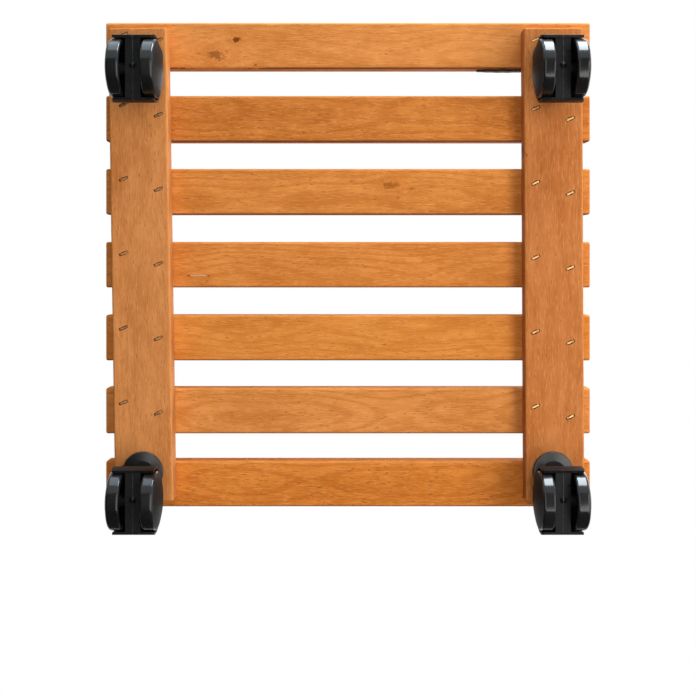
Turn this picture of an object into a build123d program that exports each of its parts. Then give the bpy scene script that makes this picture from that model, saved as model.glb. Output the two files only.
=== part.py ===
from build123d import *
from math import asin, cos, degrees, hypot, radians, sin
import os

os.makedirs("parts", exist_ok=True)

# Plant caddy: a square deck of seven slats on two battens, on four twin-wheel swivel casters.
# Slats run along Y, battens along X, Z is up and the floor is Z = 0. All sizes are in mm.

# Deck boards
deck_side = 350.0
board_thickness = 15.0
slat_count = 7
slat_width = 33.0
batten_width = 41.6
batten_length = 336.0
edge_radius = 1.8
end_radius = 1.2

# The battens were nailed a little out of square: where each one's middle lies, and its turn in degrees
batten_front_y = -147.0
batten_front_skew = -0.85
batten_back_y = 146.2
batten_back_skew = -0.25

# Staples, narrow crown, driven up through the battens into the slats
crown_width = 5.9
wire_width = 1.25
wire_thick = 1.05
wire_bend = 0.5
staple_leg = 25.0
staple_sink = 0.4
pocket_margin = 0.35
staple_angle = 66.0
staple_row_y = 146.0
pair_half_x = 3.7
pair_half_y = 12.35
jig_shift_front = (4.3, -0.75)
jig_shift_back = (1.45, -0.7)
end_slat_shift_back = -4.0
staple_end_margin = 5.0

# Casters: building height, stem places and how far the wheels trail behind the stem
caster_height = 50.0
stem_x_half = 146.7
stem_y_half = 145.2
trail = 13.5
axle_height = 20.0

# Flanged socket, measured down and up from the batten's lower face
flange_radius = 14.4
flange_rim = 1.8
flange_cone = 3.2
flange_round = 0.6
collar_radius = 8.3
collar_drop = 4.0
sleeve_radius = 5.0
sleeve_length = 13.0
sleeve_chamfer = 0.6
sleeve_roof = 1.0
socket_bore = 3.05

# Swivel pin and its grip ring
pin_radius = 3.0
pin_chamfer = 0.4
pin_drop = 25.5
ring_low = 7.0
ring_thick = 1.2
ring_outer = 4.0
ring_inner = 2.6
ring_gap = 2.0
groove_radius = 2.55
recess_radius = 4.05
snap_middle = 20.5
snap_groove_length = 1.8
snap_groove_radius = 2.4
snap_lip_length = 1.0
snap_lip_radius = 2.7

# Housing: barrel, web between the wheels and hood over them
barrel_radius = 5.4
barrel_gap = 6.2
barrel_chamfer = 0.5
swivel_bore = 3.05
swivel_bore_drop = 25.8
hood_radius = 22.8
hood_wall = 1.5
hood_width = 28.8
hood_start = -19.0
hood_end = 195.0
hood_corner = 2.0
lip_depth = 0.3
lip_sweep = 5.0
web_width = 10.4
web_floor = -5.8
slot_start = 100.0
slot_end = 165.0
slot_depth = 3.9
boss_radius = 4.5
boss_half = 6.6
ridge_length = 17.0
ridge_width = 0.6
ridge_height = 0.4
bump_base = 2.5
bump_tip = 0.6
bump_height = 1.3
bump_offset = 1.5
notch_offset = 11.2
notch_length = 3.0
notch_width = 0.7
notch_depth = 0.8

# Wheels and axle, measured outwards along the axle from the housing's middle
axle_radius = 2.5
axle_half = 16.5
axle_chamfer = 0.3
axle_groove_radius = 2.0
wheel_radius = 20.0
wheel_bore = 2.55
wheel_bore_end = 16.8
wheel_inner_face = 6.95
tread_edge = 16.0
tread_round_in = 1.5
tread_round_out = 2.0
dome_top = 18.7
shell = 1.8
rim_inner = 17.4
hub_radius = 4.5
catch_middle = 15.0
catch_lip_length = 0.8
catch_groove_length = 1.4
catch_lip_radius = 2.25

# Worked-out places
slat_pitch = (deck_side - slat_width) / (slat_count - 1)
slat_bottom = caster_height + board_thickness
hood_inner = hood_radius - hood_wall
barrel_top = caster_height - barrel_gap
web_bottom = axle_height + web_floor
# The trailing hoods reach past the deck on one side, so the deck stands half of that off the origin.
rear_overhang = stem_x_half + trail + hood_radius - deck_side / 2
deck_x = rear_overhang / 2
dome_centre = dome_top - (hypot(wheel_radius - tread_round_out, dome_top - tread_edge) ** 2
                          / (2 * (dome_top - tread_edge)))
dome_radius = dome_top - dome_centre


def slat_x(number):
    """Middle of a slat across the deck; slat 1 is the one at +X."""
    return deck_x + ((slat_count + 1) / 2 - number) * slat_pitch


def board_plane(x, y, bottom, turn):
    """Upright plane square across a board at its middle; the turn is that of its length from +X."""
    along = (cos(radians(turn)), sin(radians(turn)), 0)
    return Plane(origin=(x, y, bottom), x_dir=(-along[1], along[0], 0), z_dir=along)


def staple_spots(slat_number, batten_side):
    """The two staples of one crossing: side by side on a slant, the same way round on both battens."""
    shift_x, shift_y = jig_shift_front if batten_side < 0 else jig_shift_back
    if batten_side > 0 and slat_number in (1, slat_count):
        shift_x += end_slat_shift_back
    middle_y = batten_side * staple_row_y + shift_y
    height = caster_height + staple_sink
    reach = batten_length / 2 - staple_end_margin
    spots = []
    for way in (1, -1):
        spot_x = slat_x(slat_number) + shift_x + way * pair_half_x
        spot_x = max(deck_x - reach, min(deck_x + reach, spot_x))
        spots.append(Location((spot_x, middle_y - way * pair_half_y, height), (0, 0, staple_angle)))
    return spots


def stem_plane(stem_x, stem_y):
    """Upright plane through a stem: across is along X, up is measured from the batten's lower face."""
    return Plane(origin=(stem_x, stem_y, caster_height), x_dir=(1, 0, 0), z_dir=(0, -1, 0))


def wheel_plane(stem_x, stem_y):
    """Upright plane between a caster's two wheels, with its origin on the axle."""
    return Plane(origin=(stem_x - trail, stem_y, axle_height), x_dir=(1, 0, 0), z_dir=(0, -1, 0))


def band(inner, outer, start, end):
    """A flat band between two radii and two angles about the axle."""
    with BuildSketch() as area:
        with BuildLine():
            far = CenterArc((0, 0), outer, start, end - start)
            near = CenterArc((0, 0), inner, start, end - start)
            Line(far @ 0, near @ 0)
            Line(far @ 1, near @ 1)
        make_face()
    return area.sketch


# One staple, crown down and legs up, and the pocket that it fills in the wood
with BuildPart() as staple:
    with BuildSketch(Plane.XZ) as outline:
        with Locations((0, staple_leg / 2)):
            Rectangle(crown_width, staple_leg)
        fillet(outline.vertices().group_by(Axis.Y)[0], wire_bend)
        with Locations((0, wire_thick + staple_leg / 2)):
            Rectangle(crown_width - 2 * wire_thick, staple_leg, mode=Mode.SUBTRACT)
    extrude(amount=wire_width / 2, both=True)

with BuildPart() as pocket:
    add(staple.part)
    with BuildSketch(Plane.XY.offset(-staple_sink)):
        Rectangle(crown_width + 2 * pocket_margin, wire_width + 2 * pocket_margin)
    extrude(amount=staple_sink + wire_thick)


def make_slat(number):
    """Deck slat: a board with its long edges well eased and its ends less so, holed for four staples."""
    with BuildPart() as slat:
        with BuildSketch(board_plane(slat_x(number), 0, slat_bottom, 90)):
            with Locations((0, board_thickness / 2)):
                RectangleRounded(slat_width, board_thickness, edge_radius)
        extrude(amount=deck_side / 2, both=True)
        ends = slat.faces().sort_by(Axis.Y)
        fillet(ends[0].edges() + ends[-1].edges(), end_radius)
        with Locations(*staple_spots(number, -1), *staple_spots(number, 1)):
            add(pocket.part, mode=Mode.SUBTRACT)
    slat.part.label = f"slat_{number}"
    export_step(slat.part, f"parts/slat_{number}.step")


def make_batten(name, side, middle_y, skew):
    """Cross batten under the slats, with a blind hole for each caster socket."""
    with BuildPart() as batten:
        with BuildSketch(board_plane(deck_x, middle_y, caster_height, skew)):
            with Locations((0, board_thickness / 2)):
                RectangleRounded(batten_width, board_thickness, edge_radius)
        extrude(amount=batten_length / 2, both=True)
        ends = batten.faces().sort_by(Axis.X)
        fillet(ends[0].edges() + ends[-1].edges(), end_radius)
        with BuildSketch(Plane.XY.offset(caster_height)):
            with Locations((deck_x, side * stem_y_half)):
                with GridLocations(2 * stem_x_half, 0, 2, 1):
                    Circle(sleeve_radius)
        extrude(amount=sleeve_length, mode=Mode.SUBTRACT)
        for number in range(1, slat_count + 1):
            with Locations(*staple_spots(number, side)):
                add(pocket.part, mode=Mode.SUBTRACT)
    batten.part.label = f"batten_{name}"
    export_step(batten.part, f"parts/batten_{name}.step")


def make_staples(name, side):
    """The fourteen staples of one batten, as one group of separate solids."""
    with BuildPart() as staples:
        for number in range(1, slat_count + 1):
            with Locations(*staple_spots(number, side)):
                add(staple.part)
    staples.part.label = f"staples_{name}"
    export_step(staples.part, f"parts/staples_{name}.step")


def make_socket(corner, stem_x, stem_y):
    """Flanged socket: a shallow coned disc below the batten, with a sleeve pressed up into it."""
    with BuildPart() as socket:
        with BuildSketch(stem_plane(stem_x, stem_y)):
            with BuildLine():
                Polyline(
                    (0, sleeve_length),
                    (sleeve_radius - sleeve_chamfer, sleeve_length),
                    (sleeve_radius, sleeve_length - sleeve_chamfer),
                    (sleeve_radius, 0),
                    (flange_radius, 0),
                    (flange_radius, -flange_rim),
                    (collar_radius, -flange_cone),
                    (collar_radius, -collar_drop),
                    (0, -collar_drop),
                    close=True,
                )
            make_face()
            with Locations((socket_bore / 2, (sleeve_length - sleeve_roof - collar_drop) / 2)):
                Rectangle(socket_bore, sleeve_length - sleeve_roof + collar_drop, mode=Mode.SUBTRACT)
            with Locations((recess_radius / 2, ring_low + ring_thick / 2)):
                Rectangle(recess_radius, ring_thick, mode=Mode.SUBTRACT)
        revolve(axis=Axis((stem_x, stem_y, 0), (0, 0, 1)))
        rim = socket.edges().filter_by(GeomType.CIRCLE).group_by(SortBy.RADIUS)[-1]
        fillet(rim.sort_by(Axis.Z)[0], flange_round)
    socket.part.label = f"caster_{corner}_socket"
    export_step(socket.part, f"parts/caster_{corner}_socket.step")


def make_pin(corner, stem_x, stem_y):
    """Steel swivel pin, grooved for the grip ring above and for the housing's snap lip below."""
    pin_top = sleeve_length - sleeve_roof
    with BuildPart() as pin:
        with BuildSketch(stem_plane(stem_x, stem_y)) as profile:
            with Locations((pin_radius / 2, (pin_top - pin_drop) / 2)):
                Rectangle(pin_radius, pin_top + pin_drop)
            chamfer(profile.vertices().group_by(Axis.X)[-1], pin_chamfer)
            groove_depth = pin_radius - groove_radius
            with Locations((pin_radius - groove_depth / 2, ring_low + ring_thick / 2)):
                Rectangle(groove_depth, ring_thick, mode=Mode.SUBTRACT)
            snap_depth = pin_radius - snap_groove_radius
            with Locations((pin_radius - snap_depth / 2, -snap_middle)):
                Rectangle(snap_depth, snap_groove_length, mode=Mode.SUBTRACT)
        revolve(axis=Axis((stem_x, stem_y, 0), (0, 0, 1)))
    pin.part.label = f"caster_{corner}_pin"
    export_step(pin.part, f"parts/caster_{corner}_pin.step")


def make_grip_ring(corner, stem_x, stem_y):
    """Split steel ring that holds the pin in its socket."""
    with BuildPart() as grip_ring:
        with BuildSketch(Plane(origin=(stem_x, stem_y, caster_height + ring_low))):
            Circle(ring_outer)
            Circle(ring_inner, mode=Mode.SUBTRACT)
            with Locations((ring_outer / 2, 0)):
                Rectangle(ring_outer, ring_gap, mode=Mode.SUBTRACT)
        extrude(amount=ring_thick)
    grip_ring.part.label = f"caster_{corner}_grip_ring"
    export_step(grip_ring.part, f"parts/caster_{corner}_grip_ring.step")


def make_housing(corner, stem_x, stem_y):
    """Moulded housing: barrel on the pin, web between the wheels and a hood arched over both."""
    hood_area = band(hood_inner, hood_radius, hood_start, hood_end)
    front_lip = band(hood_inner - lip_depth, hood_radius, hood_start, hood_start + lip_sweep)
    rear_lip = band(hood_inner - lip_depth, hood_radius, hood_end - lip_sweep, hood_end)
    slot_area = band(hood_inner - slot_depth, hood_inner, slot_start, slot_end)
    side = wheel_plane(stem_x, stem_y)
    axle_x = stem_x - trail
    with BuildPart() as housing:
        with BuildSketch(side):
            add(hood_area)
            add(front_lip)
            add(rear_lip)
        extrude(amount=hood_width / 2, both=True)
        radial = housing.edges().filter_by(GeomType.LINE).filter_by(Axis.Y, reverse=True)
        fillet(radial.filter_by(lambda edge: edge.length > hood_wall), hood_corner)
        with BuildSketch(side):
            Circle(hood_inner + hood_wall / 4)
            with Locations((0, web_floor - hood_radius)):
                Rectangle(2 * hood_radius, 2 * hood_radius, mode=Mode.SUBTRACT)
            add(slot_area, mode=Mode.SUBTRACT)
        extrude(amount=web_width / 2, both=True)
        with BuildSketch(side):
            Circle(boss_radius)
        extrude(amount=boss_half, both=True)
        with BuildSketch(Plane(origin=(stem_x, stem_y, barrel_top))):
            Circle(barrel_radius)
        extrude(amount=axle_height - barrel_top)
        barrel_rim = housing.edges().filter_by(GeomType.CIRCLE).sort_by(Axis.Z)[-1]
        chamfer(barrel_rim, barrel_chamfer)
        with BuildSketch(stem_plane(stem_x, stem_y)):
            with Locations((swivel_bore / 2, -swivel_bore_drop / 2)):
                Rectangle(swivel_bore, swivel_bore_drop)
            lip = swivel_bore - snap_lip_radius
            with Locations((swivel_bore - lip / 2, -snap_middle)):
                Rectangle(lip, snap_lip_length, mode=Mode.SUBTRACT)
        revolve(axis=Axis((stem_x, stem_y, 0), (0, 0, 1)), mode=Mode.SUBTRACT)
        with BuildSketch(side):
            Circle(axle_radius)
        extrude(amount=boss_half, both=True, mode=Mode.SUBTRACT)
        # Underside of the web: a parting ridge on the stem's side, a bump under the axle, an edge notch
        with BuildSketch(Plane.XY.offset(web_bottom)):
            with Locations((axle_x + bump_offset + ridge_length / 2, stem_y)):
                Rectangle(ridge_length, ridge_width)
        extrude(amount=-ridge_height)
        with Locations((axle_x + bump_offset, stem_y, web_bottom)):
            Cone(bump_tip, bump_base, bump_height, align=(Align.CENTER, Align.CENTER, Align.MAX))
        with BuildSketch(Plane.XY.offset(web_bottom)):
            with Locations((axle_x + notch_offset, stem_y + (web_width - notch_length) / 2)):
                Rectangle(notch_width, notch_length)
        extrude(amount=notch_depth, mode=Mode.SUBTRACT)
    housing.part.label = f"caster_{corner}_housing"
    export_step(housing.part, f"parts/caster_{corner}_housing.step")


def make_axle(corner, stem_x, stem_y):
    """Steel axle pressed through the web, with a catch groove near each end."""
    with BuildPart() as axle:
        with BuildSketch(wheel_plane(stem_x, stem_y)):
            Circle(axle_radius)
        extrude(amount=axle_half, both=True)
        chamfer(axle.edges().filter_by(GeomType.CIRCLE), axle_chamfer)
        for way in (-1, 1):
            with BuildSketch(wheel_plane(stem_x, stem_y).offset(way * catch_middle)):
                Circle(axle_radius)
                Circle(axle_groove_radius, mode=Mode.SUBTRACT)
            extrude(amount=catch_groove_length / 2, both=True, mode=Mode.SUBTRACT)
    axle.part.label = f"caster_{corner}_axle"
    export_step(axle.part, f"parts/caster_{corner}_axle.step")


def make_wheel(corner, place, way, stem_x, stem_y):
    """Moulded wheel: rounded tread, bare domed outer face, open inner side with a blind hub."""
    centre = (stem_x - trail, stem_y, axle_height)
    cut_through = Plane(origin=centre, x_dir=(0, way, 0), z_dir=(way, 0, 0))
    face_radius = wheel_radius - tread_round_out
    inside = dome_radius - shell
    with BuildPart() as wheel:
        with BuildSketch(cut_through):
            with BuildLine():
                bottom = Line((dome_top, 0), (wheel_inner_face, 0))
                back = Line(bottom @ 1, (wheel_inner_face, wheel_radius - tread_round_in))
                inner_round = CenterArc(
                    (wheel_inner_face + tread_round_in, wheel_radius - tread_round_in), tread_round_in, 180, -90
                )
                Line(inner_round @ 1, (tread_edge - tread_round_out, wheel_radius))
                CenterArc((tread_edge - tread_round_out, face_radius), tread_round_out, 90, -90)
                dome_angle = degrees(asin(face_radius / dome_radius))
                CenterArc((dome_centre, 0), dome_radius, dome_angle, -dome_angle)
            make_face()
            with BuildLine():
                rim_angle = degrees(asin(rim_inner / inside))
                hub_angle = degrees(asin(hub_radius / inside))
                roof = CenterArc((dome_centre, 0), inside, hub_angle, rim_angle - hub_angle)
                hub_side = Line(roof @ 0, (wheel_inner_face, hub_radius))
                mouth = Line(hub_side @ 1, (wheel_inner_face, rim_inner))
                Line(mouth @ 1, roof @ 1)
            make_face(mode=Mode.SUBTRACT)
            bore_length = wheel_bore_end - wheel_inner_face
            with Locations((wheel_inner_face + bore_length / 2, wheel_bore / 2)):
                Rectangle(bore_length, wheel_bore, mode=Mode.SUBTRACT)
            catch = wheel_bore - catch_lip_radius
            with Locations((catch_middle, wheel_bore - catch / 2)):
                Rectangle(catch_lip_length, catch)
        revolve(axis=Axis(centre, (0, 1, 0)))
    wheel.part.label = f"caster_{corner}_wheel_{place}"
    export_step(wheel.part, f"parts/caster_{corner}_wheel_{place}.step")


for slat_number in range(1, slat_count + 1):
    make_slat(slat_number)

battens = (("front", -1, batten_front_y, batten_front_skew), ("back", 1, batten_back_y, batten_back_skew))
for batten_name, batten_side, batten_y, batten_skew in battens:
    make_batten(batten_name, batten_side, batten_y, batten_skew)
    make_staples(batten_name, batten_side)
    for stem_name, stem_side in (("left", -1), ("right", 1)):
        caster = f"{batten_name}_{stem_name}"
        stem = (deck_x + stem_side * stem_x_half, batten_side * stem_y_half)
        make_socket(caster, *stem)
        make_pin(caster, *stem)
        make_grip_ring(caster, *stem)
        make_housing(caster, *stem)
        make_axle(caster, *stem)
        make_wheel(caster, "outer", batten_side, *stem)
        make_wheel(caster, "inner", -batten_side, *stem)
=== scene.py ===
import math

import bmesh
import bpy
from mathutils import Matrix, Vector


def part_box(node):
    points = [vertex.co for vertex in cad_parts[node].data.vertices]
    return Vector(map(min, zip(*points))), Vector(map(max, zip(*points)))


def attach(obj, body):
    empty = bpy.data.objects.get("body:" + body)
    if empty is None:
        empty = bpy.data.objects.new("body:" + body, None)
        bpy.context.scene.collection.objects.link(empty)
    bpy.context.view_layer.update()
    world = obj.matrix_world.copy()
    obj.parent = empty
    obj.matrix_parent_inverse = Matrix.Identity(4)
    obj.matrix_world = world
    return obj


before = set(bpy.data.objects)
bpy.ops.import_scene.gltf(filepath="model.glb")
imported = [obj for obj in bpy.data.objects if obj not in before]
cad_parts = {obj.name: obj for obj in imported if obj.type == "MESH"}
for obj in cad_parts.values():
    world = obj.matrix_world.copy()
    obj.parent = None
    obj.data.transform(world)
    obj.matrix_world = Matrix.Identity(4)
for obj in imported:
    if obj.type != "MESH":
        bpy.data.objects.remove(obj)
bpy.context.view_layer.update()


# Camera. The caddy is seen straight from below, on the line through the middle of its deck.
# The caddy's +X end is at the top of the picture, and its +Y side is on the right.
slat_low, slat_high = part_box("slat_4")
deck_x = (slat_low.x + slat_high.x) / 2
lens_depth = 0.694
picture_side = 696
deck_above_middle = 83.3
focal_pixels = 1050
camera_data = bpy.data.cameras.new("underside_camera")
camera_data.sensor_width = 36.0
camera_data.lens = 36.0 * focal_pixels / picture_side
camera_data.shift_y = -deck_above_middle / picture_side
camera_data.clip_start = 0.01
camera_data.clip_end = 50.0
camera = bpy.data.objects.new("underside_camera", camera_data)
looking_up = Matrix(((0, 1, 0), (1, 0, 0), (0, 0, -1))).to_4x4()
camera.matrix_world = Matrix.Translation((deck_x, 0, -lens_depth)) @ looking_up
bpy.context.scene.collection.objects.link(camera)
bpy.context.scene.camera = camera
bpy.context.scene.view_settings.view_transform = "Standard"


# Studio. A white surround with an even grey level of light, soft lamps above and below,
# and two tall strip lamps beyond the +X end, which draw the bright bands on the wheels.
def wire(tree, kind, inputs=None, **settings):
    """Adds a shader node, with its settings, and feeds or sets its inputs by name or number."""
    node = tree.nodes.new("ShaderNode" + kind)
    for name, value in settings.items():
        setattr(node, name, value)
    for socket, value in (inputs or {}).items():
        if isinstance(value, bpy.types.NodeSocket):
            tree.links.new(value, node.inputs[socket])
        else:
            node.inputs[socket].default_value = value
    return node


surround = bpy.data.worlds.new("white_surround")
surround.use_nodes = True
tree = surround.node_tree
tree.nodes.clear()
rays = wire(tree, "LightPath")
seen = wire(tree, "Math", {0: rays.outputs["Is Camera Ray"], 1: rays.outputs["Is Glossy Ray"]}, operation="MAXIMUM")
seen = wire(tree, "Math", {0: seen.outputs[0], 1: rays.outputs["Is Transmission Ray"]}, operation="MAXIMUM")
room_light = wire(tree, "Background", {"Color": (1.0, 0.99, 0.975, 1), "Strength": 0.30})
white_paper = wire(tree, "Background", {"Color": (1, 1, 1, 1), "Strength": 1.0})
choice = wire(tree, "MixShader", {0: seen.outputs[0], 1: room_light.outputs[0], 2: white_paper.outputs[0]})
wire(tree, "OutputWorld", {"Surface": choice.outputs[0]})
bpy.context.scene.world = surround


def soft_lamp(name, place, target, width, height, watts, colour):
    """Hangs a rectangular soft lamp that faces the target, with its height along the caddy's X or Z."""
    data = bpy.data.lights.new(name, "AREA")
    data.shape = "RECTANGLE"
    data.size = width
    data.size_y = height
    data.energy = watts
    data.color = colour
    lamp = bpy.data.objects.new(name, data)
    way = Vector(target) - Vector(place)
    lamp.matrix_world = Matrix.Translation(place) @ way.to_track_quat("-Z", "Y").to_matrix().to_4x4()
    lamp.visible_camera = False
    bpy.context.scene.collection.objects.link(lamp)


soft_lamp("lamp_below", (-0.12, 0.64, -0.92), (0, 0, 0.05), 1.3, 0.5, 9.8, (1.0, 0.98, 0.95))
soft_lamp("lamp_fill", (0.0, -0.05, -0.98), (0, 0, 0.05), 1.2, 0.4, 4.5, (1.0, 0.98, 0.95))
soft_lamp("lamp_side_right", (1.15, 0.385, 0.02), (0, 0.385, 0.02), 0.40, 0.9, 25.0, (0.80, 0.92, 1.0))
soft_lamp("lamp_side_left", (1.15, -0.385, 0.02), (0, -0.385, 0.02), 0.40, 0.9, 4.0, (0.70, 0.87, 1.0))
soft_lamp("lamp_above", (0.3, 0.7, 1.5), (0, 0, 0.05), 1.6, 1.6, 20.0, (1.0, 0.99, 0.97))
soft_lamp("lamp_back", (0.1, 1.7, 0.5), (0, 0, 0.05), 1.8, 0.8, 10.0, (1.0, 0.99, 0.97))


def card(name, corners, material):
    """A flat card through four corners, which is part of the studio."""
    bm = bmesh.new()
    bm.faces.new([bm.verts.new(corner) for corner in corners])
    mesh = bpy.data.meshes.new(name)
    bm.to_mesh(mesh)
    bm.free()
    mesh.materials.append(material)
    obj = bpy.data.objects.new(name, mesh)
    bpy.context.scene.collection.objects.link(obj)
    return obj


paper = bpy.data.materials.new("pale_paper")
paper.use_nodes = True
tree = paper.node_tree
tree.nodes.clear()
rays = wire(tree, "LightPath")
facing = wire(tree, "NewGeometry")
place = wire(tree, "TexCoord")
reach = wire(tree, "VectorMath", {0: place.outputs["Object"]}, operation="LENGTH")
fade = wire(tree, "MapRange", {"Value": reach.outputs["Value"], "From Min": 0.35, "From Max": 1.1},
            interpolation_type="SMOOTHSTEP")
fibres = wire(tree, "TexNoise", {"Vector": place.outputs["Object"], "Scale": 90.0, "Detail": 3.0})
sheet_colour = wire(tree, "MixRGB", {0: fibres.outputs["Fac"], 1: (0.90, 0.90, 0.89, 1), 2: (0.94, 0.94, 0.93, 1)})
matt = wire(tree, "BsdfDiffuse", {"Color": sheet_colour.outputs[0]})
glow = wire(tree, "Emission", {"Color": (1, 1, 1, 1), "Strength": 1.0})
top = wire(tree, "MixShader", {0: fade.outputs[0], 1: matt.outputs[0], 2: glow.outputs[0]})
clear = wire(tree, "BsdfTransparent")
unseen = wire(tree, "Math", {0: 1.0, 1: rays.outputs["Is Camera Ray"]}, operation="SUBTRACT")
unseen = wire(tree, "Math", {0: unseen.outputs[0], 1: facing.outputs["Backfacing"]}, operation="MAXIMUM")
done = wire(tree, "MixShader", {0: unseen.outputs[0], 1: top.outputs[0], 2: clear.outputs[0]})
wire(tree, "OutputMaterial", {"Surface": done.outputs[0]})
card("floor", [(-4, -4, 0), (4, -4, 0), (4, 4, 0), (-4, 4, 0)], paper)

black_cloth = bpy.data.materials.new("black_cloth")
black_cloth.use_nodes = True
tree = black_cloth.node_tree
tree.nodes.clear()
place = wire(tree, "TexCoord")
weave = wire(tree, "TexNoise", {"Vector": place.outputs["Object"], "Scale": 40.0})
cloth_colour = wire(tree, "MixRGB", {0: weave.outputs["Fac"], 1: (0.03, 0.03, 0.03, 1), 2: (0.05, 0.05, 0.05, 1)})
matt = wire(tree, "BsdfDiffuse", {"Color": cloth_colour.outputs[0]})
wire(tree, "OutputMaterial", {"Surface": matt.outputs[0]})
card("cloth_below", [(-1.6, -1.6, -1.25), (0.9, -1.6, -1.25), (0.9, 1.6, -1.25), (-1.6, 1.6, -1.25)], black_cloth)
cloth_side = card("cloth_side", [(-1.1, -1.6, -1.25), (-1.1, 1.6, -1.25), (-1.1, 1.6, 0.7), (-1.1, -1.6, 0.7)],
                  black_cloth)
cloth_side.visible_camera = False
card("cloth_front", [(-1.6, -1.6, -1.25), (0.9, -1.6, -1.25), (0.9, -1.6, -0.05), (-1.6, -1.6, -0.05)], black_cloth)


# Deck slats. Seven planed hardwood boards, 350 by 33 by 15 mm, with their long edges eased.
# They are stained orange brown, which soaks deeper into the end grain and wears off the edges.
def tint(red, green, blue):
    """A colour read off a paint card in steps of 0 to 255, as Blender's linear numbers."""
    steps = [value / 255 for value in (red, green, blue)]
    return tuple(v / 12.92 if v <= 0.04045 else ((v + 0.055) / 1.055) ** 2.4 for v in steps) + (1.0,)


def new_group(name, inputs, outputs):
    """A shader group with named sockets, and its tree, entry and exit."""
    group = bpy.data.node_groups.new(name, "ShaderNodeTree")
    for socket, kind, value in inputs:
        made = group.interface.new_socket(socket, in_out="INPUT", socket_type="NodeSocket" + kind)
        if value is not None:
            made.default_value = value
    for socket, kind in outputs:
        group.interface.new_socket(socket, in_out="OUTPUT", socket_type="NodeSocket" + kind)
    return group, group.nodes.new("NodeGroupInput").outputs, group.nodes.new("NodeGroupOutput")


def stretched_noise(tree, position, along, across, shift, detail=2.0, rough=0.5):
    """Noise drawn out along the grain: along and across count its features in a metre."""
    drawn = wire(tree, "VectorMath", {0: position, 1: (along, across, across)}, operation="MULTIPLY")
    moved = wire(tree, "VectorMath", {0: drawn.outputs[0], 1: shift}, operation="ADD")
    noise = wire(tree, "TexNoise", {"Vector": moved.outputs[0], "Scale": 1.0, "Detail": detail, "Roughness": rough})
    return noise.outputs["Fac"]


def step(tree, value, low, high, soft=True):
    """0 below low and 1 above high, or the other way round where low is the larger."""
    kind = "SMOOTHSTEP" if soft else "LINEAR"
    return wire(tree, "MapRange", {"Value": value, "From Min": low, "From Max": high},
                interpolation_type=kind).outputs[0]


def sums(tree, operation, first, second=0.0, third=None):
    """One sum of up to three numbers."""
    inputs = {0: first, 1: second}
    if third is not None:
        inputs[2] = third
    return wire(tree, "Math", inputs, operation=operation).outputs[0]


def blend_colour(tree, share, first, second, kind="MIX"):
    """Two colours laid over each other."""
    return wire(tree, "MixRGB", {0: share, 1: first, 2: second}, blend_type=kind).outputs[0]


board, given, result = new_group(
    "stained_board",
    [("Position", "Vector", None), ("Half Length", "Float", 0.175), ("Half Width", "Float", 0.017),
     ("Half Thickness", "Float", 0.0075), ("Board", "Float", 0.0), ("Heart Side", "Float", 0.0),
     ("Pale Stain", "Color", tint(222, 148, 86)), ("Deep Stain", "Color", tint(196, 112, 52)),
     ("Pore Colour", "Color", tint(120, 62, 24)), ("Fleck Colour", "Color", tint(238, 170, 106)),
     ("End Stain", "Color", tint(180, 92, 14)), ("Worn Colour", "Color", tint(230, 152, 82)),
     ("Pore Amount", "Float", 0.6), ("Fleck Amount", "Float", 0.5), ("Figure Amount", "Float", 0.35),
     ("Wear", "Float", 0.5)],
    [("Colour", "Color"), ("Roughness", "Float"), ("Relief", "Float")])
shift = wire(board, "VectorMath", {0: (37.0, 11.0, 23.0), "Scale": given["Board"]}, operation="SCALE").outputs[0]
position = given["Position"]
blotch = step(board, stretched_noise(board, position, 14, 46, shift, 3.0, 0.55), 0.34, 0.66)
cloud = step(board, stretched_noise(board, position, 60, 150, shift, 2.0, 0.5), 0.36, 0.64)
wander = stretched_noise(board, position, 9, 14, shift, 1.0)
heart = wire(board, "CombineXYZ", {1: given["Heart Side"], 2: -0.034}).outputs[0]
ring_place = wire(board, "VectorMath", {0: position, 1: heart}, operation="SUBTRACT").outputs[0]
ring_parts = wire(board, "SeparateXYZ", {0: ring_place})
ring_length = sums(board, "SQRT", sums(board, "MULTIPLY_ADD", ring_parts.outputs[1], ring_parts.outputs[1],
                                       sums(board, "MULTIPLY", ring_parts.outputs[2], ring_parts.outputs[2])))
ring_bent = sums(board, "MULTIPLY_ADD", wander, 0.016, ring_length)
ring_turn = sums(board, "SINE", sums(board, "MULTIPLY", ring_bent, 2400.0))
figure = step(board, ring_turn, 0.1, 1.0)
sway = wire(board, "CombineXYZ", {1: sums(board, "MULTIPLY", sums(board, "SUBTRACT", wander, 0.5), 0.010)}).outputs[0]
wavy = wire(board, "VectorMath", {0: position, 1: sway}, operation="ADD").outputs[0]
fibre = stretched_noise(board, wavy, 70, 950, shift, 3.0, 0.65)
pore_cloud = step(board, cloud, 0.1, 0.9)
pore = step(board, stretched_noise(board, wavy, 210, 1100, shift, 2.0, 0.6), 0.58, 0.70)
pore = sums(board, "MULTIPLY", pore, sums(board, "MULTIPLY_ADD", pore_cloud, 0.6, 0.4))
later = wire(board, "VectorMath", {0: shift, 1: (5.3, 9.1, 2.7)}, operation="ADD").outputs[0]
fleck = step(board, stretched_noise(board, wavy, 150, 1000, later, 2.5, 0.65), 0.50, 0.74)
parts = wire(board, "SeparateXYZ", {0: position})
to_end, to_side, to_face = (
    sums(board, "SUBTRACT", given[half], sums(board, "ABSOLUTE", parts.outputs[axis]))
    for axis, half in enumerate(("Half Length", "Half Width", "Half Thickness")))
end_grain = step(board, to_end, 0.0012, 0.0002)
edge_gap = sums(board, "MINIMUM", sums(board, "MAXIMUM", to_side, to_face),
                sums(board, "MINIMUM", sums(board, "MAXIMUM", to_side, to_end),
                     sums(board, "MAXIMUM", to_face, to_end)))
edge_noise = stretched_noise(board, position, 160, 240, later, 2.0)
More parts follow.
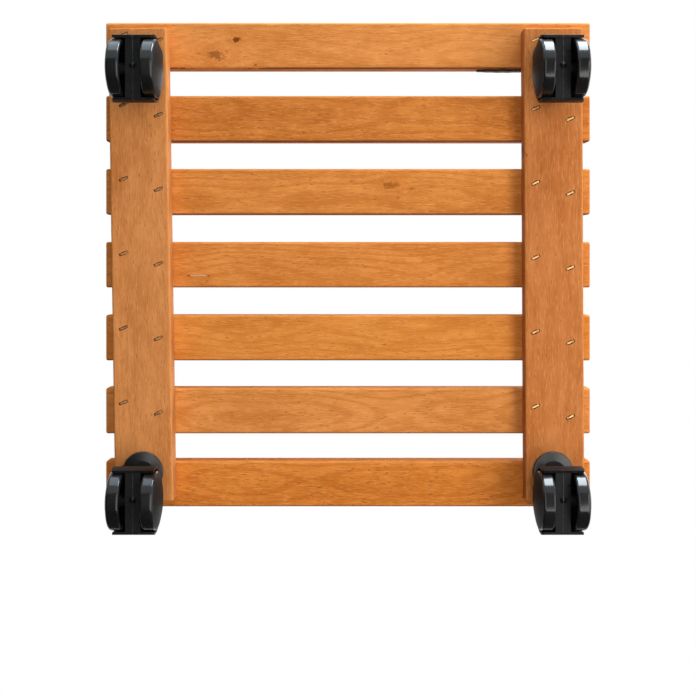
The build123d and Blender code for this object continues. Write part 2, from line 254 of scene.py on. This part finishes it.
edge = step(board, sums(board, "MULTIPLY_ADD", edge_noise, 0.0012, edge_gap), 0.0024, 0.0008)
mottle = sums(board, "MULTIPLY_ADD", cloud, 0.4, sums(board, "MULTIPLY", blotch, 0.6))
colour = blend_colour(board, mottle, given["Deep Stain"], given["Pale Stain"])
fibre_share = step(board, fibre, 0.30, 0.70)
colour = blend_colour(board, sums(board, "MULTIPLY", fibre_share, 0.42), colour, given["Pale Stain"])
dark_line = sums(board, "MULTIPLY", figure, given["Figure Amount"])
colour = blend_colour(board, dark_line, colour, given["Deep Stain"])
colour = blend_colour(board, sums(board, "MULTIPLY", fleck, given["Fleck Amount"]), colour, given["Fleck Colour"])
colour = blend_colour(board, sums(board, "MULTIPLY", pore, given["Pore Amount"]), colour, given["Pore Colour"])
speckle = step(board, stretched_noise(board, position, 200, 820, later, 2.0, 0.6), 0.40, 0.62)
end_colour = blend_colour(board, sums(board, "MULTIPLY", speckle, 0.4), given["End Stain"], tint(218, 134, 44))
end_colour = blend_colour(board, sums(board, "MULTIPLY", pore, 0.95), end_colour, given["Pore Colour"])
end_colour = blend_colour(board, sums(board, "MULTIPLY", figure, 0.35), end_colour, given["End Stain"])
colour = blend_colour(board, end_grain, colour, end_colour)
colour = blend_colour(board, sums(board, "MULTIPLY", edge, given["Wear"]), colour, given["Worn Colour"])
rough = sums(board, "MULTIPLY_ADD", fibre_share, 0.10, 0.60)
rough = sums(board, "MULTIPLY_ADD", end_grain, 0.22, rough)
rough = sums(board, "MULTIPLY_ADD", pore, 0.15, rough)
relief = sums(board, "MULTIPLY_ADD", fibre_share, 0.45, sums(board, "MULTIPLY", fleck, 0.15))
relief = sums(board, "MULTIPLY_ADD", pore, -0.7, relief)
relief = sums(board, "MULTIPLY_ADD", sums(board, "MULTIPLY", speckle, end_grain), 0.6, relief)
for socket, value in (("Colour", colour), ("Roughness", rough), ("Relief", relief)):
    board.links.new(value, result.inputs[socket])


knot, given, result = new_group(
    "knot",
    [("Position", "Vector", None), ("Centre", "Vector", None), ("Radius", "Float", 0.003)],
    [("Position", "Vector"), ("Core", "Float"), ("Halo", "Float")])
offset = wire(knot, "VectorMath", {0: given["Position"], 1: given["Centre"]}, operation="SUBTRACT").outputs[0]
squeezed = wire(knot, "VectorMath", {0: offset, 1: (0.5, 1.0, 0.15)}, operation="MULTIPLY").outputs[0]
ragged = wire(knot, "TexNoise", {"Vector": given["Position"], "Scale": 330.0, "Detail": 4.0, "Roughness": 0.7})
away = wire(knot, "VectorMath", {0: squeezed}, operation="LENGTH").outputs["Value"]
away = sums(knot, "DIVIDE", away, given["Radius"])
away = sums(knot, "MULTIPLY_ADD", ragged.outputs["Fac"], 3.2, sums(knot, "SUBTRACT", away, 1.6))
pull = step(knot, away, 3.2, 0.2)
offset_parts = wire(knot, "SeparateXYZ", {0: offset})
bent = sums(knot, "MULTIPLY", offset_parts.outputs[1], sums(knot, "MULTIPLY_ADD", pull, -0.8, 1.0))
bent_offset = wire(knot, "CombineXYZ", {0: offset_parts.outputs[0], 1: bent, 2: offset_parts.outputs[2]}).outputs[0]
bent_place = wire(knot, "VectorMath", {0: bent_offset, 1: given["Centre"]}, operation="ADD").outputs[0]
core = step(knot, away, 0.75, 0.25)
halo = sums(knot, "MULTIPLY", step(knot, away, 1.9, 1.1), step(knot, away, 0.7, 1.0))
for socket, value in (("Position", bent_place), ("Core", core), ("Halo", halo)):
    knot.links.new(value, result.inputs[socket])


def board_position(tree, low, high, grain_turn):
    """A place on a board counted from its middle, with the first number along the grain."""
    middle = (Vector(low) + Vector(high)) / 2
    place = wire(tree, "TexCoord")
    centred = wire(tree, "VectorMath", {0: place.outputs["Object"], 1: middle}, operation="SUBTRACT").outputs[0]
    return wire(tree, "Mapping", {"Vector": centred, "Rotation": (0, 0, grain_turn)}, vector_type="POINT").outputs[0]


def finish_wood(tree, grain, colour, relief_depth):
    """Joins a board's grain to its shader, under a thin satin oil."""
    bump = wire(tree, "Bump", {"Height": grain.outputs["Relief"], "Strength": 0.6, "Distance": relief_depth})
    wood = wire(tree, "BsdfPrincipled", {"Base Color": colour, "Roughness": grain.outputs["Roughness"],
                                         "Normal": bump.outputs[0], "Specular IOR Level": 0.03})
    wire(tree, "OutputMaterial", {"Surface": wood.outputs[0]})


slat_looks = {
    1: dict(pale=(224, 146, 78), deep=(194, 116, 50), pores=0.42, figure=0.34, heart=0.010),
    2: dict(pale=(211, 130, 60), deep=(176, 98, 36), pores=0.62, figure=0.50, heart=-0.006),
    3: dict(pale=(219, 140, 68), deep=(187, 108, 42), pores=0.54, figure=0.44, heart=0.004),
    4: dict(pale=(222, 141, 70), deep=(192, 110, 43), pores=0.46, figure=0.50, heart=0.012),
    5: dict(pale=(223, 142, 66), deep=(195, 113, 42), pores=0.46, figure=0.40, heart=-0.012),
    6: dict(pale=(225, 147, 78), deep=(194, 116, 50), pores=0.50, figure=0.50, heart=0.002),
    7: dict(pale=(222, 135, 58), deep=(188, 102, 32), pores=0.70, figure=0.50, heart=-0.004),
}
slat_knots = {
    1: [((-0.0808, -0.0039, -0.0075), 0.0024, 0.9), ((-0.0960, 0.0069, -0.0075), 0.0052, 0.6),
        ((-0.0671, 0.0142, -0.0070), 0.0014, 0.9)],
    3: [((0.0305, -0.0048, -0.0075), 0.0040, 0.5)],
    4: [((-0.1153, 0.0080, -0.0075), 0.0010, 0.9), ((-0.1010, 0.0080, -0.0075), 0.0010, 0.9)],
}
for number, look in slat_looks.items():
    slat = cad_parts[f"slat_{number}"]
    low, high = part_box(f"slat_{number}")
    material = bpy.data.materials.new(f"stained_slat_{number}")
    material.use_nodes = True
    tree = material.node_tree
    tree.nodes.clear()
    half_width, half_thickness = (high.x - low.x) / 2, (high.z - low.z) / 2
    place = board_position(tree, low, high, -math.pi / 2)
    knots = []
    for centre, radius, darkness in slat_knots.get(number, []):
        found = wire(tree, "Group", {}, node_tree=knot)
        tree.links.new(place, found.inputs["Position"])
        found.inputs["Centre"].default_value = centre
        found.inputs["Radius"].default_value = radius
        place = found.outputs["Position"]
        knots.append((found, darkness))
    grain = wire(tree, "Group", {}, node_tree=board)
    tree.links.new(place, grain.inputs["Position"])
    for socket, value in {
        "Half Length": (high.y - low.y) / 2, "Half Width": half_width,
        "Half Thickness": half_thickness, "Board": float(number), "Heart Side": look["heart"],
        "Pale Stain": tint(*look["pale"]), "Deep Stain": tint(*look["deep"]),
        "Pore Amount": look["pores"], "Figure Amount": look["figure"], "Fleck Amount": 0.40,
    }.items():
        grain.inputs[socket].default_value = value
    colour = grain.outputs["Colour"]
    parts = wire(tree, "SeparateXYZ", {0: place})
    # Painted shade: the lower part of the side and edge that face -X is darkened, as if in shadow.
    painted_shade_edge = sums(tree, "MULTIPLY", step(tree, parts.outputs[1], half_width - 0.0011, half_width - 0.0004),
                  step(tree, parts.outputs[2], 0.0055 - half_thickness, 0.0020 - half_thickness))
    colour = blend_colour(tree, sums(tree, "MULTIPLY", painted_shade_edge, 0.75), colour, tint(92, 44, 18))
    for found, darkness in knots:
        colour = blend_colour(tree, sums(tree, "MULTIPLY", found.outputs["Halo"], 0.4), colour, tint(196, 108, 40))
        colour = blend_colour(tree, sums(tree, "MULTIPLY", found.outputs["Core"], darkness), colour, tint(112, 44, 4))
    finish_wood(tree, grain, colour, 0.00025)
    slat.material_slots[0].material = material


# Cross battens. Two boards of the same stock, 336 by 41.6 by 15 mm, that carry the slats and the casters.
# They lie a little out of square. Their stain is a little pinker, and the wood is crushed and dark
# where a staple was driven in.
batten_looks = {
    "batten_front": dict(pale=(213, 141, 82), deep=(186, 112, 56), board=21.0, heart=0.006, turn=0.85,
                         shift=(0.0043, -0.00075), reach=0.161, crush=0.0013, side=-1, knots=[]),
    "batten_back": dict(pale=(202, 126, 70), deep=(174, 98, 44), board=34.0, heart=-0.004, turn=0.25,
                        shift=(0.00145, -0.0007), reach=0.14, crush=0.0015, side=1,
                        knots=[((0.081, -0.0232, -0.003), 0.0048, 0.95)]),
}
batten_half = Vector((0.168, 0.0208, 0.0075))
slat_pitch = (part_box("slat_1")[0].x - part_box("slat_7")[0].x) / 6
staple_row, staple_slant = 0.146, math.radians(66)
staple_apart = Vector((0.0037, -0.01235, 0.0))
crown_half = 0.0032
pocket_in, pocket_edge = 0.0025, 0.0022
for name, look in batten_looks.items():
    low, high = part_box(name)
    material = bpy.data.materials.new("stained_" + name)
    material.use_nodes = True
    tree = material.node_tree
    tree.nodes.clear()
    place = board_position(tree, low, high, math.radians(look["turn"]))
    grain = wire(tree, "Group", {}, node_tree=board)
    tree.links.new(place, grain.inputs["Position"])
    for socket, value in {
        "Half Length": batten_half.x, "Half Width": batten_half.y, "Half Thickness": batten_half.z,
        "Board": look["board"], "Heart Side": look["heart"], "Pale Stain": tint(*look["pale"]),
        "Deep Stain": tint(*look["deep"]), "Pore Amount": 0.4, "Figure Amount": 0.25, "Fleck Amount": 0.35,
    }.items():
        grain.inputs[socket].default_value = value
    colour = grain.outputs["Colour"]
    for centre, radius, darkness in look["knots"]:
        found = wire(tree, "Group", {}, node_tree=knot)
        tree.links.new(place, found.inputs["Position"])
        found.inputs["Centre"].default_value = centre
        found.inputs["Radius"].default_value = radius
        colour = blend_colour(tree, sums(tree, "MULTIPLY", found.outputs["Core"], darkness), colour, tint(30, 12, 6))
    parts = wire(tree, "SeparateXYZ", {0: place})
    along_board = sums(tree, "ABSOLUTE", parts.outputs[0])
    across_board = sums(tree, "ABSOLUTE", parts.outputs[1])
    # Painted shade: the staple pockets' walls and floors, and the batten's top face, are coloured near black as if in
    # shadow; in the pockets this also stands for crushed wood.
    painted_shade_inside = sums(tree, "MULTIPLY",
                  step(tree, along_board, batten_half.x - pocket_edge, batten_half.x - pocket_in),
                  step(tree, across_board, batten_half.y - pocket_edge, batten_half.y - pocket_in))
    painted_shade_inside = sums(tree, "MULTIPLY", painted_shade_inside,
                  step(tree, parts.outputs[2], 0.00008 - batten_half.z, 0.00022 - batten_half.z))
    colour = blend_colour(tree, sums(tree, "MULTIPLY", painted_shade_inside, 0.95), colour, tint(44, 18, 8))
    # A dark crushed ring round each staple: both staples of a crossing repeat once in every slat pitch.
    world = wire(tree, "TexCoord")
    row = Vector((deck_x + look["shift"][0], look["side"] * staple_row + look["shift"][1], low.z))
    for way in (1, -1):
        spot = row + way * staple_apart
        from_spot = wire(tree, "VectorMath", {0: world.outputs["Object"], 1: spot}, operation="SUBTRACT")
        apart = wire(tree, "SeparateXYZ", {0: from_spot.outputs[0]})
        folded = sums(tree, "WRAP", apart.outputs[0], slat_pitch / 2, -slat_pitch / 2)
        flat = wire(tree, "CombineXYZ", {0: folded, 1: apart.outputs[1]}).outputs[0]
        turned = wire(tree, "Mapping", {"Vector": flat, "Rotation": (0, 0, -staple_slant)}).outputs[0]
        squashed = wire(tree, "VectorMath", {0: turned, 1: (1 / crown_half, 1 / look["crush"], 1)},
                        operation="MULTIPLY").outputs[0]
        bruise = wire(tree, "VectorMath", {0: squashed}, operation="LENGTH").outputs["Value"]
        crushed = stretched_noise(tree, world.outputs["Object"], 900, 900, (2.0, 4.0, 6.0), 2.0)
        bruise = sums(tree, "MULTIPLY_ADD", crushed, 0.3, bruise)
        bruise = sums(tree, "MULTIPLY", step(tree, bruise, 1.15, 0.95),
                      step(tree, parts.outputs[2], 0.0012 - batten_half.z, 0.0006 - batten_half.z))
        bruise = sums(tree, "MULTIPLY", bruise, step(tree, along_board, look["reach"] + 0.0005, look["reach"]))
        colour = blend_colour(tree, bruise, colour, tint(56, 20, 6))
    finish_wood(tree, grain, colour, 0.00025)
    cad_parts[name].material_slots[0].material = material


# Staples. Narrow steel staples, two for each slat, shot through the batten at a slant.
# The crowns are drawn wire, browned by the resin that they were coated with. The front batten's crowns
# get a darker wire colour than the back's as painted shade, a shaded copy of the same wire.
for name, resin_share, bright in (("staples_back", 0.55, (0.62, 0.38, 0.17, 1)),
                                  ("staples_front", 0.50, (0.50, 0.25, 0.11, 1))):
    material = bpy.data.materials.new("drawn_wire_" + name)
    material.use_nodes = True
    tree = material.node_tree
    tree.nodes.clear()
    place = wire(tree, "TexCoord")
    drawn = wire(tree, "TexNoise", {"Vector": place.outputs["Object"], "Scale": 900.0, "Detail": 3.0})
    resin = wire(tree, "TexNoise", {"Vector": place.outputs["Object"], "Scale": 260.0, "Detail": 2.0})
    browned = step(tree, resin.outputs["Fac"], 0.42, 0.62)
    colour = blend_colour(tree, sums(tree, "MULTIPLY", browned, resin_share), bright, (0.16, 0.06, 0.025, 1))
    rough = sums(tree, "MULTIPLY_ADD", drawn.outputs["Fac"], 0.25, 0.34)
    bump = wire(tree, "Bump", {"Height": drawn.outputs["Fac"], "Strength": 0.3, "Distance": 0.00008})
    steel = wire(tree, "BsdfPrincipled", {"Base Color": colour, "Roughness": rough, "Normal": bump.outputs[0],
                                          "Metallic": 1.0})
    wire(tree, "OutputMaterial", {"Surface": steel.outputs[0]})
    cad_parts[name].material_slots[0].material = material


# Stray staple. One staple missed the battens and lies across the underside of the middle slat, unsunk.
# It is wider than the others, of pale wire, with its legs driven up into the slat.
def new_piece(name, bm):
    """Makes a piece on the deck out of a finished mesh and hangs it on the frame body."""
    mesh = bpy.data.meshes.new(name)
    bm.to_mesh(mesh)
    bm.free()
    obj = bpy.data.objects.new(name, mesh)
    bpy.context.scene.collection.objects.link(obj)
    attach(obj, "frame")
    return obj


stray_left, stray_right = -0.1143, -0.1020
stray_x = deck_x - 0.008
wire_half = 0.0004
slat_face = slat_low.z
leg_width, leg_reach = 0.0011, 0.006
crown = ((stray_x - wire_half, stray_left, slat_face - 0.0008),
         (stray_x + wire_half, stray_right, slat_face + 0.0002))
legs = [((stray_x - wire_half, near, slat_face - 0.0002),
         (stray_x + wire_half, near + leg_width, slat_face + leg_reach))
        for near in (stray_left, stray_right - leg_width)]
bm = bmesh.new()
for low_corner, high_corner in (crown, *legs):
    low_corner, high_corner = Vector(low_corner), Vector(high_corner)
    shape = Matrix.LocRotScale((low_corner + high_corner) / 2, None, high_corner - low_corner)
    bmesh.ops.create_cube(bm, size=1.0, matrix=shape)
bmesh.ops.bevel(bm, geom=list(bm.edges), offset=0.0003, segments=3, profile=0.5, affect="EDGES", material=-1)
stray_staple = new_piece("stray_staple", bm)
material = bpy.data.materials.new("pale_stray_wire")
material.use_nodes = True
tree = material.node_tree
tree.nodes.clear()
place = wire(tree, "TexCoord")
drawn = wire(tree, "TexNoise", {"Vector": place.outputs["Object"], "Scale": 1100.0, "Detail": 3.0})
colour = blend_colour(tree, drawn.outputs["Fac"], (0.42, 0.30, 0.18, 1), (0.62, 0.50, 0.34, 1))
rough = sums(tree, "MULTIPLY_ADD", drawn.outputs["Fac"], 0.2, 0.35)
bump = wire(tree, "Bump", {"Height": drawn.outputs["Fac"], "Strength": 0.3, "Distance": 0.00006})
steel = wire(tree, "BsdfPrincipled", {"Base Color": colour, "Roughness": rough, "Normal": bump.outputs[0],
                                      "Metallic": 0.4})
wire(tree, "OutputMaterial", {"Surface": steel.outputs[0]})
stray_staple.data.materials.append(material)


# Dark sliver. A thin dark piece lies along the inner side of the +X slat, standing in for a dark line of shade
# there; it is painted shade. It is about 1 mm thick and 39 mm long, ragged, and nearly black at its edge.
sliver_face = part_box("slat_1")[0].x
sliver_start, sliver_length, sliver_middle = 0.094, 0.039, 0.0083
sliver_thickness = 0.0011
outline = []
steps = 26
for number in range(steps + 1):
    share = number / steps
    along = sliver_start + sliver_length * share
    ragged = 0.0005 * math.sin(23 * share) + 0.0004 * math.sin(61 * share + 1)
    outline.append((along, slat_face + 0.0040 + ragged + 0.0012 * (1 - math.sin(math.pi * share))))
for number in range(steps + 1):
    share = 1 - number / steps
    along = sliver_start + sliver_length * share
    ragged = 0.0004 * math.sin(31 * share + 2)
    outline.append((along, slat_face + 0.0125 + ragged - 0.003 * (1 - math.sin(math.pi * share))))
bm = bmesh.new()
back = bm.faces.new([bm.verts.new((sliver_face + 0.0002, along, height)) for along, height in outline])
grown = bmesh.ops.extrude_face_region(bm, geom=[back])["geom"]
front = [item for item in grown if isinstance(item, bmesh.types.BMVert)]
middle_height = Matrix.Translation((0, 0, -slat_face - sliver_middle))
bmesh.ops.translate(bm, verts=front, vec=(-sliver_thickness - 0.0002, 0, 0))
bmesh.ops.scale(bm, verts=front, vec=(1, 1, 0.86), space=middle_height)
bmesh.ops.triangulate(bm, faces=list(bm.faces))
bmesh.ops.recalc_face_normals(bm, faces=list(bm.faces))
dark_shade_sliver = new_piece("dark_shade_sliver", bm)
material = bpy.data.materials.new("dark_shade_strip")
material.use_nodes = True
tree = material.node_tree
tree.nodes.clear()
place = wire(tree, "TexCoord")
stretched = stretched_noise(tree, place.outputs["Object"], 700, 260, (3.0, 5.0, 1.0), 3.0)
crack = step(tree, stretched_noise(tree, place.outputs["Object"], 1900, 420, (1.0, 2.0, 3.0), 2.0), 0.52, 0.66)
colour = blend_colour(tree, stretched, tint(34, 24, 12), tint(66, 48, 26))
colour = blend_colour(tree, crack, colour, tint(16, 9, 5))
rough = sums(tree, "MULTIPLY_ADD", stretched, 0.2, 0.65)
height = sums(tree, "SUBTRACT", stretched, crack)
bump = wire(tree, "Bump", {"Height": height, "Strength": 0.7, "Distance": 0.0004})
sliver_shader = wire(tree, "BsdfPrincipled", {"Base Color": colour, "Roughness": rough, "Normal": bump.outputs[0],
                                     "Specular IOR Level": 0.2})
wire(tree, "OutputMaterial", {"Surface": sliver_shader.outputs[0]})
dark_shade_sliver.data.materials.append(material)


# Sockets. A black nylon flange under each batten end, with a shallow cone and a collar round the pin.
# They are moulded, and their faces have a fine matt skin from the tool.
skin, given, result = new_group(
    "moulded_skin",
    [("Position", "Vector", None), ("Sparkle Size", "Float", 2600.0), ("Base Roughness", "Float", 0.4),
     ("Dark", "Color", (0.010, 0.010, 0.011, 1)), ("Pale", "Color", (0.020, 0.020, 0.021, 1)),
     ("Dust", "Float", 0.06)],
    [("Colour", "Color"), ("Roughness", "Float"), ("Relief", "Float")])
flow = wire(skin, "TexNoise", {"Vector": given["Position"], "Scale": 55.0, "Detail": 3.0, "Roughness": 0.6})
spark = wire(skin, "TexNoise", {"Vector": given["Position"], "Scale": given["Sparkle Size"], "Detail": 2.0})
dust = wire(skin, "TexNoise", {"Vector": given["Position"], "Scale": 700.0, "Detail": 2.0, "Roughness": 0.7})
dust_spots = sums(skin, "MULTIPLY", step(skin, dust.outputs["Fac"], 0.60, 0.72), given["Dust"])
colour = blend_colour(skin, step(skin, flow.outputs["Fac"], 0.3, 0.7), given["Dark"], given["Pale"])
colour = blend_colour(skin, dust_spots, colour, (0.10, 0.10, 0.10, 1))
rough = sums(skin, "MULTIPLY_ADD", flow.outputs["Fac"], 0.12, given["Base Roughness"])
rough = sums(skin, "MULTIPLY_ADD", dust_spots, 0.5, rough)
for socket, value in (("Colour", colour), ("Roughness", rough), ("Relief", spark.outputs["Fac"])):
    skin.links.new(value, result.inputs[socket])


def black_moulding(name, rough, dark, pale, sparkle, depth, gloss):
    """A black moulded plastic, with its tool's skin as a fine bump."""
    material = bpy.data.materials.new(name)
    material.use_nodes = True
    tree = material.node_tree
    tree.nodes.clear()
    place = wire(tree, "TexCoord")
    face = wire(tree, "Group", {}, node_tree=skin)
    tree.links.new(place.outputs["Object"], face.inputs["Position"])
    for socket, value in {"Base Roughness": rough, "Dark": dark, "Pale": pale, "Sparkle Size": sparkle}.items():
        face.inputs[socket].default_value = value
    bump = wire(tree, "Bump", {"Height": face.outputs["Relief"], "Strength": 0.35, "Distance": depth})
    plastic = wire(tree, "BsdfPrincipled", {"Base Color": face.outputs["Colour"], "Normal": bump.outputs[0],
                                            "Roughness": face.outputs["Roughness"], "Specular IOR Level": gloss})
    wire(tree, "OutputMaterial", {"Surface": plastic.outputs[0]})
    return material


corners = ("front_left", "front_right", "back_left", "back_right")
socket_nylon = black_moulding("socket_nylon_skin", 0.30, (0.006, 0.006, 0.006, 1), (0.012, 0.012, 0.011, 1),
                              2600.0, 0.00005, 0.55)
for corner in corners:
    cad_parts[f"caster_{corner}_socket"].material_slots[0].material = socket_nylon


# Swivel pins and grip rings. A turned and bright zinc plated steel pin stands in each housing,
# and a split spring ring near its top holds it in the socket's sleeve.
material = bpy.data.materials.new("bright_pin_steel")
material.use_nodes = True
tree = material.node_tree
tree.nodes.clear()
place = wire(tree, "TexCoord")
turned = wire(tree, "VectorMath", {0: place.outputs["Object"], 1: (60.0, 60.0, 4200.0)}, operation="MULTIPLY")
lathe = wire(tree, "TexNoise", {"Vector": turned.outputs[0], "Scale": 1.0, "Detail": 2.0})
haze = wire(tree, "TexNoise", {"Vector": place.outputs["Object"], "Scale": 180.0, "Detail": 2.0})
colour = blend_colour(tree, haze.outputs["Fac"], (0.62, 0.64, 0.66, 1), (0.78, 0.79, 0.80, 1))
rough = sums(tree, "MULTIPLY_ADD", lathe.outputs["Fac"], 0.18, 0.18)
bump = wire(tree, "Bump", {"Height": lathe.outputs["Fac"], "Strength": 0.25, "Distance": 0.00004})
steel = wire(tree, "BsdfPrincipled", {"Base Color": colour, "Roughness": rough, "Normal": bump.outputs[0],
                                      "Metallic": 1.0})
wire(tree, "OutputMaterial", {"Surface": steel.outputs[0]})
pin_steel = material
for corner in corners:
    for part in ("pin", "grip_ring"):
        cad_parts[f"caster_{corner}_{part}"].material_slots[0].material = pin_steel


# Housings. Each is one black nylon moulding: the barrel round the pin, the web between the wheels
# and the curved hood over them, with a see-through slot and a rolled lip at each end of the hood.
# Along the moulding's parting ridge under the web a paler strip is painted on, as a painted highlight.
housing_nylon = black_moulding("housing_nylon_skin", 0.40, (0.004, 0.004, 0.004, 1), (0.008, 0.008, 0.008, 1),
                               2200.0, 0.00005, 0.13)
tree = housing_nylon.node_tree
plastic = next(node for node in tree.nodes if node.type == "BSDF_PRINCIPLED")
plain_colour = plastic.inputs["Base Color"].links[0].from_socket
place = wire(tree, "TexCoord")
parts = wire(tree, "SeparateXYZ", {0: place.outputs["Object"]})
web_middle = (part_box("caster_back_left_housing")[0].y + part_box("caster_back_left_housing")[1].y) / 2
# Painted highlight: a thin strip along the parting ridge is coloured paler, broken up by noise.
off_middle = sums(tree, "ABSOLUTE", sums(tree, "SUBTRACT", sums(tree, "ABSOLUTE", parts.outputs[1]), web_middle))
ridge_highlight = sums(tree, "MULTIPLY", step(tree, off_middle, 0.00045, 0.00025),
              step(tree, parts.outputs[2], 0.01425, 0.01415))
ridge_highlight_breakup = wire(tree, "TexNoise", {"Vector": place.outputs["Object"], "Scale": 420.0, "Detail": 2.0})
ridge_highlight = sums(tree, "MULTIPLY", ridge_highlight, step(tree, ridge_highlight_breakup.outputs["Fac"], 0.30, 0.62))
plain_colour = blend_colour(tree, ridge_highlight, plain_colour, (0.045, 0.047, 0.05, 1))
tree.links.new(plain_colour, plastic.inputs["Base Color"])
for corner in corners:
    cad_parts[f"caster_{corner}_housing"].material_slots[0].material = housing_nylon


# Axles. A plain steel rod is pressed through each web, and the wheels snap over its ends.
for corner in corners:
    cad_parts[f"caster_{corner}_axle"].material_slots[0].material = pin_steel


# Wheels. Two to a caster, each a black moulded shell with a polished tread and a domed outer face
# with a fine matt skin. They are hollow on the side that faces the web.
for corner in corners:
    for side in ("outer", "inner"):
        name = f"caster_{corner}_wheel_{side}"
        low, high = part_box(name)
        middle = (low + high) / 2
        material = bpy.data.materials.new(f"wheel_plastic_{corner}_{side}")
        material.use_nodes = True
        tree = material.node_tree
        tree.nodes.clear()
        place = wire(tree, "TexCoord")
        centred = wire(tree, "VectorMath", {0: place.outputs["Object"], 1: middle}, operation="SUBTRACT")
        parts = wire(tree, "SeparateXYZ", {0: centred.outputs[0]})
        radius = sums(tree, "SQRT", sums(tree, "MULTIPLY_ADD", parts.outputs[0], parts.outputs[0],
                                         sums(tree, "MULTIPLY", parts.outputs[2], parts.outputs[2])))
        tread = step(tree, radius, 0.0188, 0.0194)
        face = wire(tree, "Group", {}, node_tree=skin)
        tree.links.new(place.outputs["Object"], face.inputs["Position"])
        face.inputs["Sparkle Size"].default_value = 2400.0
        face.inputs["Dark"].default_value = (0.005, 0.0053, 0.0057, 1)
        face.inputs["Pale"].default_value = (0.010, 0.0105, 0.011, 1)
        face.inputs["Base Roughness"].default_value = 0.46
        height = sums(tree, "MULTIPLY", face.outputs["Relief"],
                      wire(tree, "MapRange", {"Value": tread, "To Min": 1.0, "To Max": 0.12}).outputs[0])
        bump = wire(tree, "Bump", {"Height": height, "Strength": 0.35, "Distance": 0.00006})
        polish = sums(tree, "MULTIPLY", tread, 0.75)
        plastic = wire(tree, "BsdfPrincipled", {"Base Color": face.outputs["Colour"], "Normal": bump.outputs[0],
                                                "Roughness": face.outputs["Roughness"], "Specular IOR Level": 0.05,
                                                "Coat Weight": polish, "Coat Roughness": 0.14})
        wire(tree, "OutputMaterial", {"Surface": plastic.outputs[0]})
        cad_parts[name].material_slots[0].material = material
